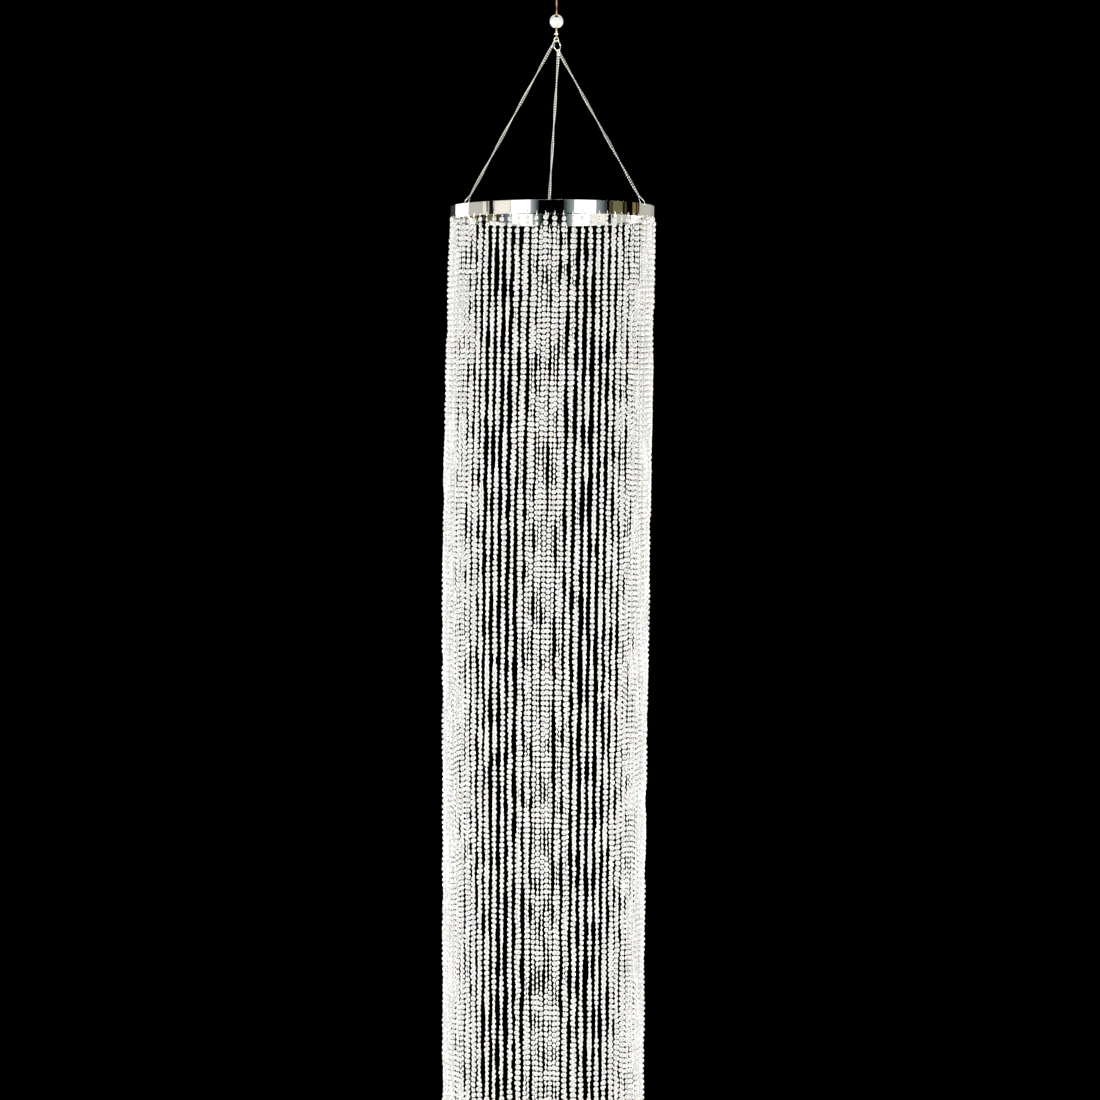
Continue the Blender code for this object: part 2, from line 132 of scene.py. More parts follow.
TOP_RING_LOW_WIDTH = 0.0050
TOP_RING_TURN = -35.0
PEAR_WIRE = 0.0006
PEAR_LENGTH = 0.0156
PEAR_TOP_WIDTH = 0.0042
PEAR_LOW_WIDTH = 0.0084
PEAR_POINTED = 0.3
PEAR_TURN = 35.0
PEAR_LEAN = 17.0
JUMP_WIRE = 0.00055
JUMP_RADIUS = 0.0028
JUMP_SPREAD = 30.0
LEFT_HOOK_PLACE = 215
HOOK_CLEARANCE = 0.00045

# The cord and what is on it
CORD_RADIUS = 0.0009
LOOP_HEIGHT = 0.031
LOOP_KNOT_WIDTH = 0.0020
LOOP_TOP_WIDTH = 0.0110
LEG_APART = 0.0010
LEG_END = 0.0016
KNOT_RADIUS = 0.0033
KNOT_TURNS = 3.4
KNOT_STEPS = 60
KNOT_COIL = 0.0024
KNOT_SWELL = 0.0003
KNOT_FLAT = 0.9
KNOT_START = 0.0006
KNOT_HEIGHT = 0.0052
BALL_RADIUS = 0.010
BALL_CENTRE = Vector((0.0, 0.0010, -0.0759))
BALL_BORE = 0.0018
BALL_BORE_TILT = math.radians(22.5)
BALL_BORE_OFFSET = 0.00383
BORE_WAY = Vector((0.0, -math.sin(BALL_BORE_TILT), math.cos(BALL_BORE_TILT)))
CRIMP_TOP = -0.0909
CRIMP_BOTTOM = -0.0959
CRIMP_RADIUS = 0.0027
CRIMP_BORE = 0.0013
CRIMP_SHOULDER = 0.26
CRIMP_RIM = 0.30
EYE_RADIUS = 0.0023
EYE_WIRE = 0.0007
EYE_CENTRE = -0.0991
EYE_STEM_DROP = 0.0002
EYE_STEM_HEIGHTS = (-0.0950, -0.0958)
CORD_STEP = 0.0012
CORD_ROUTE = (
    (0.0, 0.0, -0.0380),
    (0.0, 0.0, -0.0440),
    (0.0, -0.0010, -0.0500),
    (0.0, -0.0029, -0.0570),
    (0.0, -0.0050, -0.0635),
    (0.0, -0.0057, -0.0672),
    (0.0, -0.0052, -0.0698),
    (0.0, -0.0040, -0.0739),
    (0.0, -0.0015, -0.0799),
    (0.0, 0.0004, -0.0845),
    (0.0, 0.0007, -0.0868),
    (0.0, 0.0003, -0.0890),
    (0.0, 0.0, -0.0912),
    (0.0, 0.0, -0.0932),
)

# The cord's colours by height: painted shade, dark, where it runs inside the ball, and a dark stain
# above it
CORD_STAIN_AND_SHADE_FROM = -0.0860
CORD_STAIN_AND_SHADE_TO = -0.0400
CORD_STAIN_AND_SHADE = (
    (0.0, (1.0, 1.0, 0.62)),
    (0.03, (1.0, 1.0, 0.62)),
    # painted shade: the cord is dark where it runs inside the ball
    (0.06, (0.12, 0.08, 0.05)),
    (0.375, (0.12, 0.08, 0.05)),
    (0.42, (1.0, 1.0, 0.58)),
    (0.52, (1.0, 1.0, 0.58)),
    (0.58, (0.16, 0.055, 0.02)),
    (0.66, (0.16, 0.055, 0.02)),
    (0.74, (0.98, 0.80, 0.78)),
    (1.0, (0.98, 0.80, 0.78)),
)

# The camera: a little under the ring, tipped down along the strands
EYE = Vector((-0.0026, -3.40, -0.5956))
EYE_ROLL = math.radians(0.56)
EYE_TILT = math.radians(3.489)
LENS = 73.52
SHIFT_DOWN = 0.04

# The softboxes stand round the column: upper ones for the band, lower ones for the beads
BOX_DISTANCE = 3.6
UPPER_BOX = (-0.45, 0.75)
LOWER_BOX = (-2.9, -0.55)
LOWER_BRIGHTNESS = 5.2
FADE_BOXES = 4
OVERHEAD_AIM = Vector((0.0, 0.0, -1.0))

FLOOR_RADIUS = 0.60
FLOOR_HEIGHT = -2.225

X = Vector((1.0, 0.0, 0.0))
Y = Vector((0.0, 1.0, 0.0))
DOWN = Vector((0.0, 0.0, -1.0))
SLOPED = Matrix((
    (1.0, 0.0, 0.0, 0.0),
    (0.0, 1.0, 0.0, 0.0),
    (RING_SLOPE, 0.0, 1.0, -RING_SLOPE * RING_CENTRE.x),
    (0.0, 0.0, 0.0, 1.0),
))


def wave(number, salt):
    """A repeatable value between -1 and 1 for a numbered piece."""
    return 2.0 * ((math.sin(number * 12.9898 + salt * 78.233) * 43758.5453) % 1.0) - 1.0


def add_object(name, data):
    made = bpy.data.objects.new(name, data)
    bpy.context.scene.collection.objects.link(made)
    return made


# Camera, lights and floor

def make_camera():
    data = bpy.data.cameras.new("camera")
    data.lens = LENS
    data.sensor_width = 36.0
    data.shift_y = -SHIFT_DOWN
    data.clip_end = 100.0
    camera = add_object("camera", data)
    upright = Matrix.Rotation(math.pi / 2 - EYE_TILT, 4, "X")
    camera.matrix_world = Matrix.Translation(EYE) @ upright @ Matrix.Rotation(EYE_ROLL, 4, "Z")
    bpy.context.scene.camera = camera


def make_softbox(name, azimuths, brightness, colour, heights=UPPER_BOX):
    """A softbox that fills the azimuths between two, counted from the camera to the right."""
    first, last = azimuths
    low, high = heights
    middle = math.radians((first + last) / 2)
    width = 2 * BOX_DISTANCE * math.tan(math.radians(abs(last - first) / 2))
    place = Vector((
        BOX_DISTANCE * math.sin(middle), -BOX_DISTANCE * math.cos(middle), (low + high) / 2,
    ))
    turned = Matrix.Rotation(middle, 4, "Z") @ Matrix.Rotation(math.pi / 2, 4, "X")
    size = (width, high - low)
    hang_light(name, Matrix.Translation(place) @ turned, size, brightness, colour)


def make_overhead(name, place, size, brightness, colour):
    """A softbox turned to the middle of the column."""
    place = Vector(place)
    turned = (OVERHEAD_AIM - place).to_track_quat("-Z", "Y").to_matrix().to_4x4()
    hang_light(name, Matrix.Translation(place) @ turned, size, brightness, colour)


def hang_light(name, matrix, size, brightness, colour):
    data = bpy.data.lights.new(name, "AREA")
    data.shape = "RECTANGLE"
    data.size, data.size_y = size
    data.energy = brightness * math.pi * size[0] * size[1]
    data.color = colour
    light = add_object(name, data)
    light.matrix_world = matrix
    light.visible_camera = False


def make_fade(name, azimuths, brightness, colour):
    """Narrow boxes side by side, from one brightness to another: a reflection's soft end."""
    first, last = azimuths
    for i in range(FADE_BOXES):
        near = first + (last - first) * i / FADE_BOXES
        far = first + (last - first) * (i + 1) / FADE_BOXES
        share = (i + 0.5) / FADE_BOXES
        level = brightness[0] + (brightness[1] - brightness[0]) * share
        make_softbox(f"{name}_{i + 1}", (near, far), level, colour)


def make_lights():
    """The upper boxes are what the band mirrors; the lower, brighter ones light the beads."""
    white = (1.0, 0.99, 0.96)
    warm = (1.0, 0.95, 0.86)
    cool = (0.80, 0.93, 1.0)
    green = (0.75, 1.0, 0.90)
    straw = (0.98, 0.97, 0.85)
    olive = (0.84, 0.78, 0.34)
    amber = (1.0, 0.66, 0.26)
    upper = (
        ("front_left", (-46.3, -24.1), 1.5, white),
        ("side_left", (-65.8, -46.7), 0.95, warm),
        ("side_left_end", (-68.3, -65.8), 0.70, straw),
        ("streak_left", (-76.0, -74.0), 0.60, straw),
        ("far_left_end", (-82.9, -78.0), 0.90, straw),
        ("far_left", (-107.0, -82.9), 0.55, straw),
        ("back_left", (-139.6, -107.4), 1.8, white),
        ("back_left_end", (-172.0, -140.6), 0.045, cool),
        ("front_right", (23.9, 48.8), 1.5, white),
        ("streak_right", (65.4, 68.3), 0.10, olive),
        ("stripe_right", (69.8, 84.1), 0.20, olive),
        ("thin_right", (87.3, 89.7), 0.09, olive),
        ("stripe_amber", (100.1, 106.4), 0.24, amber),
        ("thin_amber", (109.0, 111.0), 0.20, amber),
        ("back_right", (113.6, 147.1), 0.52, straw),
        ("back_right_end", (147.5, 172.0), 0.42, white),
    )
    for name, azimuths, brightness, colour in upper:
        make_softbox(name, azimuths, brightness, colour)
    make_fade("front_left_fade", (-24.0, -15.4), (0.50, 0.01), cool)
    make_fade("front_right_fade", (12.5, 23.8), (0.0, 0.42), green)
    make_fade("side_right_fade", (48.9, 61.9), (0.40, 0.02), cool)
    for side in (1, -1):
        for first, last in ((16, 50), (52, 88), (90, 130), (132, 172)):
            name = f"low_{'left' if side < 0 else 'right'}_{first}"
            azimuths = (side * first, side * last)
            make_softbox(name, azimuths, LOWER_BRIGHTNESS, white, heights=LOWER_BOX)
    make_overhead("top_back", (0.0, 2.6, 1.8), (3.4, 2.0), 3.0, white)
    make_overhead("top_front", (0.0, -2.4, 2.0), (3.4, 1.8), 2.6, white)
    world = bpy.data.worlds.new("studio")
    world.use_nodes = True
    background = world.node_tree.nodes["Background"]
    background.inputs["Color"].default_value = (0.0, 0.0, 0.0, 1.0)
    bpy.context.scene.world = world
    bpy.context.scene.view_settings.view_transform = "Standard"


# Materials

class Value:
    """Wraps a shader socket, so that sums and products of it add their Math nodes."""

    def __init__(self, paint, socket):
        self.paint = paint
        self.socket = socket

    def maths(self, operation, *operands):
        settings = {"operation": operation}
        return self.paint.node("ShaderNodeMath", settings, dict(enumerate(operands)))

    def __add__(self, other):
        return self.maths("ADD", self, other)

    __radd__ = __add__

    def __mul__(self, other):
        return self.maths("MULTIPLY", self, other)

    __rmul__ = __mul__

    def __rsub__(self, other):
        return self.maths("SUBTRACT", other, self)


class Paint:
    """A material on the Principled shader, whose changing sockets take Value expressions."""

    def __init__(self, name, colour, roughness, metallic=0.0, **constants):
        self.material = bpy.data.materials.new(name)
        self.material.use_nodes = True
        self.tree = self.material.node_tree
        self.shader = self.tree.nodes["Principled BSDF"]
        self.set("Base Color", colour)
        self.set("Roughness", roughness)
        self.set("Metallic", metallic)
        for socket, value in constants.items():
            self.set(socket.replace("_", " "), value)

    def set(self, name, value):
        socket = self.shader.inputs[name]
        if isinstance(value, Value):
            self.tree.links.new(value.socket, socket)
        else:
            socket.default_value = (*value, 1.0) if isinstance(value, tuple) else value

    def node(self, kind, settings=None, inputs=None, output=0):
        """Adds a node with its settings made first, then the values or links of its sockets."""
        made = self.tree.nodes.new(kind)
        for name, value in (settings or {}).items():
            if name == "stops":
                self.place_stops(made.color_ramp, value)
            else:
                setattr(made, name, value)
        for name, value in (inputs or {}).items():
            socket = made.inputs[name]
            if isinstance(value, Value):
                self.tree.links.new(value.socket, socket)
            else:
                socket.default_value = (*value, 1.0) if socket.type == "RGBA" else value
        return Value(self, made.outputs[output])

    @staticmethod
    def place_stops(ramp, stops):
        while len(ramp.elements) < len(stops):
            ramp.elements.new(1.0)
        for element, (place, colour) in zip(ramp.elements, stops):
            element.position = place
            element.color = (*colour, 1.0)

    def place(self):
        return self.node("ShaderNodeTexCoord", output="Object")

    def height(self):
        return self.node("ShaderNodeSeparateXYZ", {}, {"Vector": self.place()}, output="Z")

    def noise(self, scale, detail=2.0, stretch=None):
        vector = self.place()
        if stretch:
            vector = self.node("ShaderNodeMapping", {}, {"Vector": vector, "Scale": stretch})
        return self.node(
            "ShaderNodeTexNoise", {}, {"Vector": vector, "Scale": scale, "Detail": detail}
        )

    def mix(self, factor, first, second):
        """Blends two colours by a Value."""
        return self.node(
            "ShaderNodeMix", {"data_type": "RGBA"}, {0: factor, 6: first, 7: second}, output=2
        )

    def tinted(self, first, second):
        """Multiplies one colour by another."""
        settings = {"data_type": "RGBA", "blend_type": "MULTIPLY"}
        return self.node("ShaderNodeMix", settings, {0: 1.0, 6: first, 7: second}, output=2)

    def span(self, value, low, high, to_low=0.0, to_high=1.0):
        return self.node("ShaderNodeMapRange", {}, {
            "Value": value, "From Min": low, "From Max": high,
            "To Min": to_low, "To Max": to_high,
        })

    def bump(self, height, distance, strength):
        normal = self.node(
            "ShaderNodeBump", {}, {"Height": height, "Distance": distance, "Strength": strength}
        )
        self.set("Normal", normal)

    def vector_maths(self, operation, *operands, output="Vector"):
        settings = {"operation": operation}
        return self.node("ShaderNodeVectorMath", settings, dict(enumerate(operands)), output=output)

    def attribute(self, name):
        return self.node("ShaderNodeAttribute", {"attribute_name": name}, output="Fac")


def paint_chrome():
    """Mirror plating on the rolled band: smudges, hairlines along it and a slow ripple."""
    paint = Paint("mirror_chrome", (0.93, 0.93, 0.92), 0.03, 1.0)
    smudge = paint.span(paint.noise(38.0, 4.0), 0.45, 0.75)
    hairline = paint.span(paint.noise(160.0, 3.0, (1.0, 1.0, 22.0)), 0.55, 0.75)
    paint.set("Roughness", 0.025 + 0.05 * smudge + 0.035 * hairline)
    paint.set("Base Color", paint.mix(smudge, (0.94, 0.94, 0.93), (0.86, 0.85, 0.82)))
    ripple = paint.noise(9.0, 1.0, (1.0, 1.0, 0.4))
    paint.bump(ripple + 0.01 * hairline, 0.0006, 0.25)
    return paint.material


def paint_wire(name, colour, dull):
    """Bright plated wire, duller where it rubs."""
    paint = Paint(name, colour, 0.15, 1.0)
    worn = paint.span(paint.noise(420.0, 3.0), 0.42, 0.68)
    paint.set("Roughness", 0.12 + 0.16 * worn)
    paint.set("Base Color", paint.mix(worn, colour, dull))
    paint.bump(paint.noise(900.0, 2.0), 0.0001, 0.3)
    return paint.material


def paint_chain():
    """The satin wire of the links, with painted shade, near black, at either end of a link, where
    its neighbours pass through it.
    """
    paint = Paint("chain_wire", (0.96, 0.95, 0.90), 0.35, 0.35)
    # Painted shade: the ends of each link go near black and a little rougher
    painted_end_shade = paint.span(paint.attribute("reach"), 0.36, 0.50)
    paint.set("Base Color", paint.mix(painted_end_shade, (0.97, 0.95, 0.88), (0.02, 0.02, 0.018)))
    paint.set("Roughness", 0.32 + 0.25 * painted_end_shade)
    paint.bump(paint.noise(900.0, 2.0), 0.0001, 0.3)
    return paint.material


def paint_beads():
    """Clear cut acrylic, greyer on and near its flat tables by painted shade, with a breath of pink,
    blue or straw in some as painted dispersion colour.
    """
    paint = Paint(
        "clear_acrylic", (1.0, 1.0, 1.0), 0.03, 0.0, Transmission_Weight=0.5, IOR=1.49,
    )
    # Painted light: a random pick per bead among faint dispersion colours
    tint = paint.attribute("tint")
    colour = paint.node(
        "ShaderNodeValToRGB",
        {"stops": (
            (0.0, (1.0, 0.92, 0.93)),
            (0.10, (1.0, 1.0, 1.0)),
            (0.80, (1.0, 1.0, 0.99)),
            (0.88, (0.90, 0.97, 1.0)),
            (0.94, (1.0, 1.0, 1.0)),
            (1.0, (1.0, 0.97, 0.86)),
        )},
        {"Fac": tint},
    )
    # Painted shade: the flat tables and the facets next to them go grey, as if the dark background
    # showed through
    painted_table_shade = paint.span(paint.attribute("reach"), 0.72, 1.0, 0.0, 0.55)
    paint.set("Base Color", paint.mix(painted_table_shade, colour, (0.20, 0.20, 0.21)))
    haze = paint.span(paint.noise(260.0, 2.0), 0.4, 0.7)
    paint.set("Roughness", 0.02 + 0.07 * haze)
    return paint.material


def paint_thread():
    paint = Paint("clear_thread", (0.92, 0.93, 0.92), 0.25, 0.0, Transmission_Weight=0.6, IOR=1.5)
    cloudy = paint.span(paint.noise(300.0), 0.4, 0.7)
    paint.set("Roughness", 0.18 + 0.2 * cloudy)
    return paint.material


def paint_ball():
    """White enamel on a turned ball, a little blotchy, with painted shade, near black, in and round
    its hole.
    """
    paint = Paint("white_enamel", (0.80, 0.80, 0.78), 0.3, Coat_Roughness=0.12)
    blotch = paint.span(paint.noise(130.0, 4.0), 0.4, 0.75)
    enamel = paint.mix(blotch, (0.68, 0.68, 0.66), (0.56, 0.55, 0.51))
    from_bore = paint.vector_maths("SUBTRACT", paint.place(), tuple(bore_point()))
    away = paint.vector_maths("CROSS_PRODUCT", from_bore, tuple(BORE_WAY))
    distance = paint.vector_maths("LENGTH", away, output="Value")
    # Painted shade: near black within 1.4 bore radii of the bore's axis, fading out by 1.75, with
    # less coat and more roughness there
    painted_hole_shade = paint.span(distance, BALL_BORE * 1.4, BALL_BORE * 1.75, 1.0, 0.0)
    paint.set("Base Color", paint.mix(painted_hole_shade, enamel, (0.03, 0.018, 0.01)))
    paint.set("Coat Weight", 0.3 * (1 - painted_hole_shade))
    paint.set("Roughness", 0.24 + 0.18 * blotch + 0.4 * painted_hole_shade)
    paint.bump(paint.noise(700.0, 3.0), 0.00012, 0.35)
    return paint.material


def paint_cord(name, deep, pale):
    """A braided cord: two sets of strands that cross, with painted shade darkening the valleys."""
    paint = Paint(name, deep, 0.8, 0.0, Sheen_Weight=0.25)
    bands = {"wave_type": "BANDS", "bands_direction": "DIAGONAL"}
    mirror = {"Vector": paint.place(), "Scale": (-1.0, 1.0, 1.0)}
    left, right = (
        paint.node("ShaderNodeTexWave", bands, {"Vector": vector, "Scale": 260.0, "Distortion": 1.5})
        for vector in (paint.place(), paint.node("ShaderNodeMapping", {}, mirror))
    )
    braid = left.maths("MAXIMUM", left, right)
    fade = paint.span(paint.noise(60.0, 3.0), 0.35, 0.65)
    # Painted shade: the deep colour in the braid's valleys, the pale one on its ridges
    braid_with_valley_shade = paint.mix(fade * braid, deep, pale)
    # Painted shade inside the ball and a real stain above it, by height
    stain_and_shade = paint.node("ShaderNodeValToRGB", {"stops": CORD_STAIN_AND_SHADE}, {
        "Fac": paint.span(paint.height(), CORD_STAIN_AND_SHADE_FROM, CORD_STAIN_AND_SHADE_TO),
    })
    paint.set("Base Color", paint.tinted(braid_with_valley_shade, stain_and_shade))
    paint.set("Roughness", 0.70 + 0.2 * braid)
    paint.bump(braid, 0.00012, 0.6)
    return paint.material


def paint_floor():
    paint = Paint("studio_floor", (0.45, 0.44, 0.43), 0.6)
    soft = paint.span(paint.noise(1.2, 3.0), 0.3, 0.7)
    paint.set("Base Color", paint.mix(soft, (0.47, 0.46, 0.45), (0.43, 0.42, 0.41)))
    return paint.material


# Shapes

def make_piece(name, bm, material, smooth_degrees=None):
    """A piece of bm with its faces out, smooth where its edges turn less than smooth_degrees."""
    bmesh.ops.recalc_face_normals(bm, faces=bm.faces)
    mesh = bpy.data.meshes.new(name)
    bm.to_mesh(mesh)
    bm.free()
    mesh.materials.append(material)
    if smooth_degrees is not None:
        mesh.shade_smooth()
        mesh.set_sharp_from_angle(angle=math.radians(smooth_degrees))
    return add_object(name, mesh)


def dress(piece, slot, *nodes):
    """Hangs a piece on the one body and hides the solids it stands for. Its slot is not used."""
    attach(piece, "root")
    if nodes:
        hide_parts(*nodes)


def tile(name, bm, places, material, reach_axis, smooth=True, painted_dispersion_picks=None):
    """One mesh of many copies of a small shape, one for each 4 by 4 matrix in places.

    Its reach attribute runs from 0 at a copy's middle to 1 at its ends on one axis.
    """
    bmesh.ops.recalc_face_normals(bm, faces=bm.faces)
    bmesh.ops.triangulate(bm, faces=[face for face in bm.faces if len(face.verts) > 4])
    bm.verts.index_update()
    corners = np.array([(*vert.co, 1.0) for vert in bm.verts])
    sizes = np.array([len(face.verts) for face in bm.faces])
    loops = np.array([vert.index for face in bm.faces for vert in face.verts])
    bm.free()
    reach = np.abs(corners[:, reach_axis]) / np.abs(corners[:, reach_axis]).max()
    places = np.array(places)
    count = len(places)
    points = np.einsum("nij,vj->nvi", places, corners)[:, :, :3].reshape(-1)
    indices = (loops[None, :] + np.arange(count)[:, None] * len(corners)).reshape(-1)
    starts = np.concatenate(([0], np.cumsum(np.tile(sizes, count))[:-1]))
    mesh = bpy.data.meshes.new(name)
    mesh.vertices.add(count * len(corners))
    mesh.vertices.foreach_set("co", points.astype(np.float32))
    mesh.loops.add(count * len(loops))
    mesh.loops.foreach_set("vertex_index", indices.astype(np.int32))
    mesh.polygons.add(count * len(sizes))
    mesh.polygons.foreach_set("loop_start", starts.astype(np.int32))
    mesh.update(calc_edges=True)
    if smooth:
        mesh.shade_smooth()
    ends = mesh.attributes.new("reach", "FLOAT", "POINT")
    ends.data.foreach_set("value", np.tile(reach, count).astype(np.float32))
    # Per copy, a pick on the beads' painted dispersion colours
    if painted_dispersion_picks is not None:
        shade = mesh.attributes.new("tint", "FLOAT", "POINT")
        shade.data.foreach_set("value", np.repeat(painted_dispersion_picks, len(corners)).astype(np.float32))
    mesh.materials.append(material)
    return add_object(name, mesh)


def frame_at(centre, side, along, half_side, half_other):
    """A matrix at centre, Z along and X towards side, scaled by a section's two half sizes."""
    z = along.normalized()
    x = (side - z * side.dot(z)).normalized()
    y = z.cross(x)
    matrix = Matrix((x * half_side, y * half_other, z)).transposed().to_4x4()
    matrix.translation = centre
    return matrix


def sweep(bm, frames, sides, closed=False):
    """Carries a section of radius 1 through the frames, all the way round if closed."""
    section = bmesh.ops.create_circle(
        bm, cap_ends=True, segments=sides, radius=1.0, matrix=frames[0]
    )["verts"]
    first = section[0].link_faces[0]
    face = first
    path = frames + frames[:1] if closed else frames
    for before, after in zip(path, path[1:]):
        grown = bmesh.ops.extrude_face_region(bm, geom=[face])["geom"]
        if face is not first:
            bmesh.ops.delete(bm, geom=[face], context="FACES_ONLY")
        corners = [item for item in grown if isinstance(item, bmesh.types.BMVert)]
        face = next(item for item in grown if isinstance(item, bmesh.types.BMFace))
        bmesh.ops.transform(bm, matrix=after @ before.inverted(), verts=corners)
    if closed:
        ends = list(first.verts) + list(face.verts)
        bmesh.ops.delete(bm, geom=[first, face], context="FACES_ONLY")
        bmesh.ops.remove_doubles(bm, verts=ends, dist=1e-6)


def wire(bm, points, normal, radius, sides=10, closed=True):
    """A wire of round section along a line, with one side of the section kept towards normal."""
    count = len(points)
    frames = []
    for i, point in enumerate(points):
        before = i - 1 if closed else max(i - 1, 0)
        after = (i + 1) % count if closed else min(i + 1, count - 1)
        frames.append(frame_at(point, normal, points[after] - points[before], radius, radius))
    sweep(bm, frames, sides, closed=closed)


def drop_line(top, down, across, length, top_width, low_width, steps, pointed=0.0):
    """The closed centreline of a drop-shaped ring, round where both widths are half its length."""
    points = []
    for i in range(steps):
        angle = 2 * math.pi * i / steps
        depth = length * (1 - math.cos(angle)) / 2
        low = math.sin(angle / 2) ** 2
        width = low_width * low + top_width * (1 - low)
        width *= abs(math.cos(angle / 2)) ** pointed
        points.append(top + down * depth + across * (width * math.sin(angle)))
    return points


def smooth_route(route, step):
    """Points at even steps on a smooth curve through the route's own points."""
    knots = [Vector(point) for point in route]
    knots = [2 * knots[0] - knots[1]] + knots + [2 * knots[-1] - knots[-2]]
    parts = 16
    fine = []
    for a, b, c, d in zip(knots, knots[1:], knots[2:], knots[3:]):
        for i in range(parts):
            t = i / parts
            fine.append(0.5 * (
                2 * b + (c - a) * t + (2 * a - 5 * b + 4 * c - d) * t**2
                + (3 * b - a - 3 * c + d) * t**3
            ))
    fine.append(knots[-2])
    lengths = [0.0]
    for a, b in zip(fine, fine[1:]):
        lengths.append(lengths[-1] + (b - a).length)
    count = round(lengths[-1] / step)
    points = []
    place = 0
    for i in range(count + 1):
        wanted = lengths[-1] * i / count
        while place < len(fine) - 2 and lengths[place + 1] < wanted:
            place += 1
        share = (wanted - lengths[place]) / (lengths[place + 1] - lengths[place])
        points.append(fine[place].lerp(fine[place + 1], share))
    return points


# The cord, its loop and knot, the ball and the crimp

def build_cord(tan):
    curve = bpy.data.curves.new("cord", "CURVE")
    curve.dimensions = "3D"
    curve.bevel_depth = CORD_RADIUS
    curve.bevel_resolution = 4
    curve.use_fill_caps = True
    points = smooth_route(CORD_ROUTE, CORD_STEP)[::-1]
    spline = curve.splines.new("POLY")
    spline.points.add(len(points) - 1)
    for place, point in zip(spline.points, points):
        place.co = (*point, 1.0)
    curve.materials.append(tan)
    length = sum((b - a).length for a, b in zip(points, points[1:]))
    return add_object("cord", curve), length


def build_knotted_loop(tan):
    """The loop's two legs, and the turns of cord that tie them."""
    bottom = Vector((0.0, 0.0, -LOOP_HEIGHT - KNOT_RADIUS))
    height = LOOP_HEIGHT + KNOT_RADIUS + CORD_RADIUS
    line = drop_line(bottom, -DOWN, X, height, LOOP_KNOT_WIDTH, LOOP_TOP_WIDTH, steps=44)[3:-2]
    bm = bmesh.new()
    ends = [bottom + X * side * LEG_APART + DOWN * LEG_END for side in (1, -1)]
    wire(bm, ends[:1] + line + ends[1:], Y, CORD_RADIUS, sides=12, closed=False)
    coil = []
    for i in range(KNOT_STEPS + 1):
        share = i / KNOT_STEPS
        angle = 2 * math.pi * KNOT_TURNS * share
        radius = KNOT_COIL - KNOT_SWELL * math.cos(2 * math.pi * share)
        coil.append(Vector((
            radius * math.cos(angle),
            radius * KNOT_FLAT * math.sin(angle),
            -LOOP_HEIGHT - KNOT_START - KNOT_HEIGHT * share,
        )))
    wire(bm, coil, DOWN, CORD_RADIUS, sides=12, closed=False)
    return make_piece("tied_loop", bm, tan, 60)


def bore_point():
    """The point of the bore's axis that lies nearest the ball's middle."""
    forward = Vector((0.0, -math.cos(BALL_BORE_TILT), -math.sin(BALL_BORE_TILT)))
    return BALL_CENTRE + forward * BALL_BORE_OFFSET


def build_ball(enamel):
    bm = bmesh.new()
    bmesh.ops.create_uvsphere(
        bm, u_segments=64, v_segments=40, radius=BALL_RADIUS, matrix=Matrix.Translation(BALL_CENTRE)
    )
    ball = make_piece("white_ball", bm, enamel, 40)
    bm = bmesh.new()
    place = Matrix.Translation(bore_point())
    bmesh.ops.create_cone(
        bm, cap_ends=True, segments=32, radius1=BALL_BORE, radius2=BALL_BORE,
        depth=3 * BALL_RADIUS, matrix=place @ Matrix.Rotation(BALL_BORE_TILT, 4, "X"),
    )
    cut_with(ball, bm)
    return ball


def cut_with(piece, bm):
    """Cuts the shape in bm out of a piece for good."""
    mesh = bpy.data.meshes.new("cutter")
    bmesh.ops.recalc_face_normals(bm, faces=bm.faces)
    bm.to_mesh(mesh)
    bm.free()
    cutter = add_object("cutter", mesh)
    modifier = piece.modifiers.new("holes", "BOOLEAN")
    modifier.operation = "DIFFERENCE"
    modifier.solver = "EXACT"
    modifier.object = cutter
    bpy.context.view_layer.update()
    solid = piece.evaluated_get(bpy.context.evaluated_depsgraph_get())
    cut = bpy.data.meshes.new_from_object(solid)
    cut.set_sharp_from_angle(angle=math.radians(15))
    piece.modifiers.clear()
    piece.data = cut
    bpy.data.objects.remove(cutter)


def build_crimp(steel):
    """A clamped barrel, narrower at its top."""
    middle = (CRIMP_TOP + CRIMP_BOTTOM) / 2
    half = (CRIMP_TOP - CRIMP_BOTTOM) / 2
    profile_points = [(CRIMP_BORE, half * 0.94), (CRIMP_BORE, -half * 0.94)]
    for share in (-1.0, -0.92, -0.7, -0.45, -0.2, 0.0, 0.2, 0.45, 0.7, 0.92, 1.0):
        shoulder = CRIMP_SHOULDER * max(0.0, (share + 0.2) / 1.2)
        rim = CRIMP_RIM * abs(share) ** 8
        profile_points.append((CRIMP_RADIUS * (1 - shoulder - rim), half * share))
    bm = bmesh.new()
    profile = [bm.verts.new((r, 0.0, middle + z)) for r, z in profile_points]
    edges = [bm.edges.new((a, b)) for a, b in zip(profile, profile[1:] + profile[:1])]
    bmesh.ops.spin(
        bm, geom=profile + edges, cent=(0, 0, 0), axis=(0, 0, 1), angle=2 * math.pi,
        steps=40, use_merge=True,
    )
    return make_piece("crimp_sleeve", bm, steel, 40)


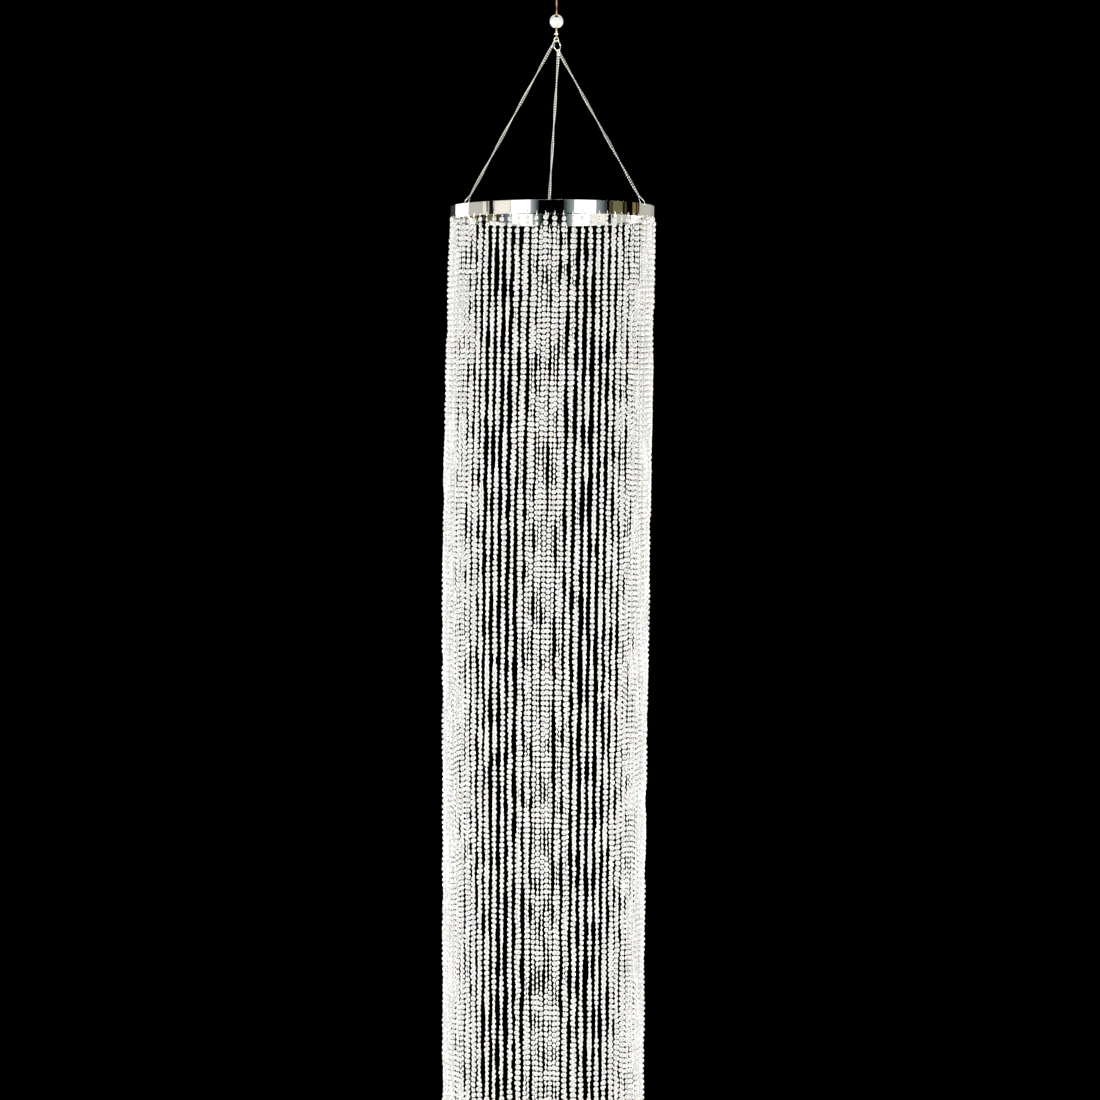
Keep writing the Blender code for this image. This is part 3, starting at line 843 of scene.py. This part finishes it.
def build_cord_eye(tan):
    bm = bmesh.new()
    stem_top = (CRIMP_TOP + CRIMP_BOTTOM) / 2 - EYE_STEM_DROP
    eye_top = EYE_CENTRE + EYE_RADIUS
    stem = [Vector((0.0, 0.0, z)) for z in (stem_top, *EYE_STEM_HEIGHTS, eye_top)]
    wire(bm, stem, X, CORD_RADIUS, sides=12, closed=False)
    start = Vector((0.0, 0.0, eye_top))
    line = drop_line(start, DOWN, Y, 2 * EYE_RADIUS, EYE_RADIUS, EYE_RADIUS, steps=28)
    wire(bm, line, X, EYE_WIRE)
    return make_piece("eye_of_cord", bm, tan, 60)


# The small rings, and where the chains hook on

def ring_frame(turn):
    """The sideways and the facing direction of a small ring turned about the vertical."""
    across = Vector((math.cos(math.radians(turn)), math.sin(math.radians(turn)), 0.0))
    return across, across.cross(-DOWN)


def pear_axes():
    """The pear ring's downward, sideways and facing directions, leaning towards its two chains."""
    level, facing = ring_frame(PEAR_TURN)
    lean = math.radians(PEAR_LEAN)
    down = level * math.sin(lean) + DOWN * math.cos(lean)
    return down, facing.cross(down), facing


def pear_top():
    down, _, _ = pear_axes()
    round_radius = PEAR_TOP_WIDTH**2 / (PEAR_LENGTH / 2)
    hook = PEAR_WIRE + TOP_RING_WIRE + HOOK_CLEARANCE
    wire_height = TOP_RING_TOP - TOP_RING_HEIGHT
    return Vector((0.0, 0.0, wire_height - round_radius + hook)) - down * round_radius


def jump_centre():
    down, _, _ = pear_axes()
    hook = PEAR_WIRE + JUMP_WIRE + HOOK_CLEARANCE
    return pear_top() + down * (PEAR_LENGTH - hook + JUMP_RADIUS)


def top_ring_line(steps):
    across, _ = ring_frame(TOP_RING_TURN)
    top = Vector((0.0, 0.0, TOP_RING_TOP))
    return drop_line(
        top, DOWN, across, TOP_RING_HEIGHT, TOP_RING_TOP_WIDTH, TOP_RING_LOW_WIDTH, steps=steps
    )


def build_small_rings(steel, brass):
    bm = bmesh.new()
    wire(bm, top_ring_line(40), ring_frame(TOP_RING_TURN)[1], TOP_RING_WIRE, sides=12)
    dress(make_piece("small_top_ring", bm, steel, 60), "steel_wire", "top_ring")

    down, across, facing = pear_axes()
    bm = bmesh.new()
    line = drop_line(
        pear_top(), down, across, PEAR_LENGTH, PEAR_TOP_WIDTH, PEAR_LOW_WIDTH, steps=56,
        pointed=PEAR_POINTED,
    )
    wire(bm, line, facing, PEAR_WIRE, sides=12)
    dress(make_piece("pear_shaped_ring", bm, steel, 60), "steel_wire", "pear_ring")

    # The jump ring is left open by a hair where its ends meet
    bm = bmesh.new()
    start = jump_centre() - down * JUMP_RADIUS
    line = drop_line(start, down, facing, 2 * JUMP_RADIUS, JUMP_RADIUS, JUMP_RADIUS, steps=40)
    opened = line[9:] + line[:8]
    wire(bm, opened, across, JUMP_WIRE, sides=12, closed=False)
    dress(make_piece("split_jump_ring", bm, brass, 60), "steel_wire", "jump_ring")


def chain_hooks():
    """For each chain, the point and direction of the wire it hooks on, and that wire's radius."""
    line = top_ring_line(360)
    tangent = line[LEFT_HOOK_PLACE + 1] - line[LEFT_HOOK_PLACE - 1]
    hooks = {"left": (line[LEFT_HOOK_PLACE], tangent, TOP_RING_WIRE)}
    down, _, facing = pear_axes()
    for name, sign in (("right", -1), ("back", 1)):
        angle = math.radians(sign * JUMP_SPREAD)
        outward = facing * -math.sin(angle) + down * math.cos(angle)
        tangent = facing * math.cos(angle) + down * math.sin(angle)
        hooks[name] = (jump_centre() + outward * JUMP_RADIUS, tangent, JUMP_WIRE)
    return hooks


def chain_azimuths():
    """Where the chains meet the ring: front left, front right and back, half a strand round."""
    return {name: math.radians(angle) + STEP / 2 for name, angle in CHAIN_DEGREES.items()}


def curb_link():
    """One oval link, twisted along its length so that its neighbours pass through it."""
    bm = bmesh.new()
    points = []
    for i in range(CURB_STEPS):
        angle = 2 * math.pi * i / CURB_STEPS
        tilt = math.radians(CURB_TILT_DEGREES) * math.cos(angle)
        side = CHAIN_HALF_WIDE * math.sin(angle)
        points.append(Vector((
            side * math.cos(tilt), side * math.sin(tilt), CHAIN_HALF_LONG * math.cos(angle),
        )))
    frames = []
    for i, point in enumerate(points):
        along = points[(i + 1) % CURB_STEPS] - points[i - 1]
        frames.append(frame_at(point, point.cross(along), along, CHAIN_WIRE, CHAIN_WIRE_WIDE))
    sweep(bm, frames, CURB_SIDES, closed=True)
    return bm


def build_chain(name, plated, steel):
    """One flat curb chain that turns as it hangs, and the open wire link at either end."""
    hook, wire_way, hook_wire = chain_hooks()[name]
    azimuth = chain_azimuths()[name]
    outward = Vector((math.cos(azimuth), math.sin(azimuth), 0.0))
    hole = SLOPED @ (RING_CENTRE + outward * RING_MIDDLE + DOWN * CHAIN_HOLE_DROP)
    down = (hole - hook).normalized()
    top_link = LONG_LINK if name == "left" else SHORT_LINK
    across = wire_way.cross(down).normalized()
    tip = hook - down * (hook_wire + LINK_WIRE + HOOK_CLEARANCE)
    start = tip + down * top_link
    finish = hole - down * RING_LINK

    length = (finish - start).length
    count = round(length / CHAIN_LINKS_PITCH) + 1
    places = []
    for i in range(count):
        depth = length * i / (count - 1)
        turn = CHAIN_FIRST_TURN + math.pi * depth / CHAIN_TWIST_LENGTH + CHAIN_WOBBLE * wave(i, 3)
        upright = frame_at(start + down * depth, across, down, 1.0, 1.0)
        places.append(upright @ Matrix.Rotation(turn, 4, "Z"))
    chain = tile(f"curb_chain_{name}", curb_link(), places, plated, reach_axis=2)
    dress(chain, "steel_wire", f"chain_{name}")

    bm = bmesh.new()
    line = drop_line(tip, down, across, top_link, LINK_TOP_WIDTH, LINK_LOW_WIDTH, steps=28)
    wire(bm, line, down.cross(across), LINK_WIRE)
    radial = (outward - down * outward.dot(down)).normalized()
    line = drop_line(
        hole, -down, radial, RING_LINK, RING_LINK_LOW_WIDTH, RING_LINK_TOP_WIDTH, steps=32
    )
    wire(bm, line, down.cross(radial), LINK_WIRE)
    dress(make_piece(f"end_links_{name}", bm, steel, 60), "steel_wire")


# The ring and its hooks

def ring_place(azimuth, height):
    """A matrix on the band's middle line, with Z outward and Y up."""
    return (
        Matrix.Translation((RING_CENTRE.x, 0.0, 0.0))
        @ Matrix.Rotation(azimuth, 4, "Z")
        @ Matrix.Translation((RING_MIDDLE, 0.0, height))
        @ Matrix.Rotation(math.pi / 2, 4, "Y")
    )


def build_band(chrome):
    """The rolled band with its eased edges, its hook holes and its three chain holes."""
    ease = RING_EASE
    inner = RING_RADIUS - RING_WALL
    profile_points = (
        (RING_RADIUS - ease, RING_TOP), (RING_RADIUS - ease * 0.3, RING_TOP - ease * 0.3),
        (RING_RADIUS, RING_TOP - ease), (RING_RADIUS, RING_BOTTOM + ease),
        (RING_RADIUS - ease * 0.3, RING_BOTTOM + ease * 0.3), (RING_RADIUS - ease, RING_BOTTOM),
        (inner + ease, RING_BOTTOM), (inner + ease * 0.3, RING_BOTTOM + ease * 0.3),
        (inner, RING_BOTTOM + ease), (inner, RING_TOP - ease),
        (inner + ease * 0.3, RING_TOP - ease * 0.3), (inner + ease, RING_TOP),
    )
    bm = bmesh.new()
    profile = [bm.verts.new((r, 0.0, z)) for r, z in profile_points]
    edges = [bm.edges.new((a, b)) for a, b in zip(profile, profile[1:] + profile[:1])]
    bmesh.ops.spin(
        bm, geom=profile + edges, cent=(0, 0, 0), axis=(0, 0, 1), angle=2 * math.pi,
        steps=RING_SEGMENTS, use_merge=True,
    )
    bmesh.ops.translate(bm, verts=bm.verts, vec=(RING_CENTRE.x, 0.0, 0.0))
    bmesh.ops.transform(bm, matrix=SLOPED, verts=bm.verts)
    band = make_piece("rolled_band", bm, chrome, 50)
    bm = bmesh.new()
    holes = [
        (FRONT + (strand + 0.5) * STEP, RING_BOTTOM + HOOK_HOLE_HEIGHT, HOOK_HOLE_RADIUS)
        for strand in range(STRANDS)
    ]
    holes += [
        (azimuth, RING_TOP - CHAIN_HOLE_DROP, CHAIN_HOLE_RADIUS)
        for azimuth in chain_azimuths().values()
    ]
    for azimuth, height, radius in holes:
        bmesh.ops.create_cone(
            bm, cap_ends=True, segments=HOLE_SIDES, radius1=radius, radius2=radius,
            depth=6 * RING_WALL, matrix=SLOPED @ ring_place(azimuth, height),
        )
    cut_with(band, bm)
    return band


def build_hooks(steel):
    """The wire loop of each strand, through its hole and round the band's lower edge."""
    bm = bmesh.new()
    for strand in range(STRANDS):
        azimuth = FRONT + (strand + 0.5) * STEP
        outward = Vector((math.cos(azimuth), math.sin(azimuth), 0.0))
        onward = Vector((-math.sin(azimuth), math.cos(azimuth), 0.0))
        top = RING_CENTRE + outward * RING_MIDDLE
        top.z = RING_BOTTOM + HOOK_HOLE_HEIGHT + HOOK_WIRE * 0.5
        top = SLOPED @ top
        height = HOOK_HOLE_HEIGHT + HOOK_REACH
        skew = onward * math.radians(HOOK_SKEW_DEGREES * wave(strand, 5))
        down = (DOWN + skew).normalized()
        twist = math.radians(HOOK_TWIST_DEGREES * wave(strand, 11))
        across = outward * math.cos(twist) + onward * math.sin(twist)
        line = drop_line(top, down, across, height, HOOK_TOP_WIDTH, HOOK_LOW_WIDTH, steps=18)
        wire(bm, line, down.cross(across), HOOK_WIRE, sides=6)
    return make_piece("strand_hooks", bm, steel, 60)


# The strands

def column_shift(depth):
    """How far the column hangs to one side, and how much wider it is, at a depth under the ring."""
    if depth < BOW_DEPTH:
        share = math.sin(math.pi / 2 * depth / BOW_DEPTH)
        return -BOW_LEFT * share, SPREAD * share
    below = depth - BOW_DEPTH
    bow = math.cos(math.pi / 2 * min(below / BOW_BELOW, 1.0))
    return -BOW_LEFT * bow, SPREAD * max(1 - below / SPREAD_BELOW, 0.0)


def strand_point(strand, depth):
    """The middle of a strand at a depth under the ring."""
    azimuth = FRONT + (strand + 0.5) * STEP
    shift, wider = column_shift(depth)
    swing = SWAY * math.sin(SWAY_RATE * depth + SWAY_LAG * strand) * min(depth / SWAY_START, 1.0)
    radius = RING_MIDDLE + wider
    return SLOPED @ Vector((
        RING_CENTRE.x + math.cos(azimuth) * radius - math.sin(azimuth) * swing + shift,
        math.sin(azimuth) * radius + math.cos(azimuth) * swing,
        RING_BOTTOM - depth,
    ))


def cut_bead():
    """A flat round bead with a seven-sided table on either face, cut in facets."""
    bm = bmesh.new()
    bmesh.ops.create_circle(bm, segments=14, radius=BEAD_RADIUS)
    for side in (-1, 1):
        bmesh.ops.create_circle(
            bm, segments=7, radius=TABLE_RADIUS,
            matrix=Matrix.Translation((0.0, 0.0, side * BEAD_HALF_THICK)),
        )
    bmesh.ops.delete(bm, geom=list(bm.edges), context="EDGES_FACES")
    bmesh.ops.convex_hull(bm, input=bm.verts)
    upright = Matrix.Rotation(math.pi / 2, 3, "X")
    bmesh.ops.rotate(bm, verts=bm.verts, cent=(0, 0, 0), matrix=upright)
    return bm


def bead_places(strand, rng):
    """Where each bead of a strand hangs and how it is turned: beads turn on slowly in runs."""
    places = []
    turn = rng.uniform(0.0, math.pi)
    rate = 0.0
    start = FIRST_BEAD + rng.uniform(*START_RANGE)
    pitch = PITCH * (1 + rng.uniform(-PITCH_CHANGE, PITCH_CHANGE))
    for bead in range(BEADS):
        rate = TURN_KEPT * rate + rng.normal(0.0, math.radians(TURN_DEGREES))
        turn += rate
        depth = start + pitch * bead
        centre = strand_point(strand, depth)
        centre.x += rng.normal(0.0, BEAD_DRIFT)
        centre.y += rng.normal(0.0, BEAD_DRIFT)
        tilt = Matrix.Rotation(rng.normal(0.0, math.radians(TILT_DEGREES)), 4, "Y")
        lean = Matrix.Rotation(rng.normal(0.0, math.radians(LEAN_DEGREES)), 4, "X")
        places.append(
            Matrix.Translation(centre) @ Matrix.Rotation(turn, 4, "Z") @ tilt @ lean
        )
    return places


def build_strands(acrylic, clear):
    rng = np.random.default_rng(SEED)
    for group in range(STRANDS // STRANDS_IN_GROUP):
        first = group * STRANDS_IN_GROUP
        places = []
        for strand in range(first, first + STRANDS_IN_GROUP):
            places += bead_places(strand, rng)
        # One random pick per bead for its painted dispersion colour
        painted_dispersion_picks = rng.uniform(0.0, 1.0, len(places))
        name = f"beads_{group + 1:02d}"
        beads = tile(name, cut_bead(), places, acrylic, reach_axis=1, smooth=False, painted_dispersion_picks=painted_dispersion_picks)
        dress(beads, "clear_beads", f"strand_group_{group + 1:02d}")

    bm = bmesh.new()
    last = FIRST_BEAD + PITCH * (BEADS - 1)
    for strand in range(STRANDS):
        points = [
            strand_point(strand, THREAD_START + (last - THREAD_START) * i / THREAD_PARTS)
            for i in range(THREAD_PARTS + 1)
        ]
        wire(bm, points, X, THREAD, sides=3, closed=False)
    dress(make_piece("strand_threads", bm, clear), "clear_beads")


def build_floor(material):
    bm = bmesh.new()
    bmesh.ops.create_circle(bm, cap_ends=True, segments=96, radius=FLOOR_RADIUS)
    bmesh.ops.translate(bm, verts=bm.verts, vec=(0.0, 0.0, FLOOR_HEIGHT))
    floor = make_piece("floor", bm, material)


make_camera()
tan = paint_cord("tan_braid", (0.46, 0.25, 0.10), (0.80, 0.60, 0.38))
cord, cord_length = build_cord(tan)
loop = build_knotted_loop(tan)
enamel = paint_ball()
ball = build_ball(enamel)
dress(cord, "tan_cord", "hanging_cord")
dress(loop, "tan_cord", "hanging_loop")
dress(ball, "white_ball", "ball")

steel = paint_wire("bright_wire", (0.94, 0.93, 0.89), (0.78, 0.76, 0.70))
brass = paint_wire("yellowed_wire", (0.90, 0.84, 0.66), (0.70, 0.62, 0.42))
dress(build_crimp(steel), "steel_wire", "crimp")
dress(build_cord_eye(tan), "tan_cord", "cord_eye")
build_small_rings(steel, brass)
plated = paint_chain()
for chain_name in ("left", "right", "back"):
    build_chain(chain_name, plated, steel)
dress(build_band(paint_chrome()), "chrome", "ring_band")
dress(build_hooks(steel), "steel_wire")
build_strands(paint_beads(), paint_thread())
build_floor(paint_floor())
make_lights()
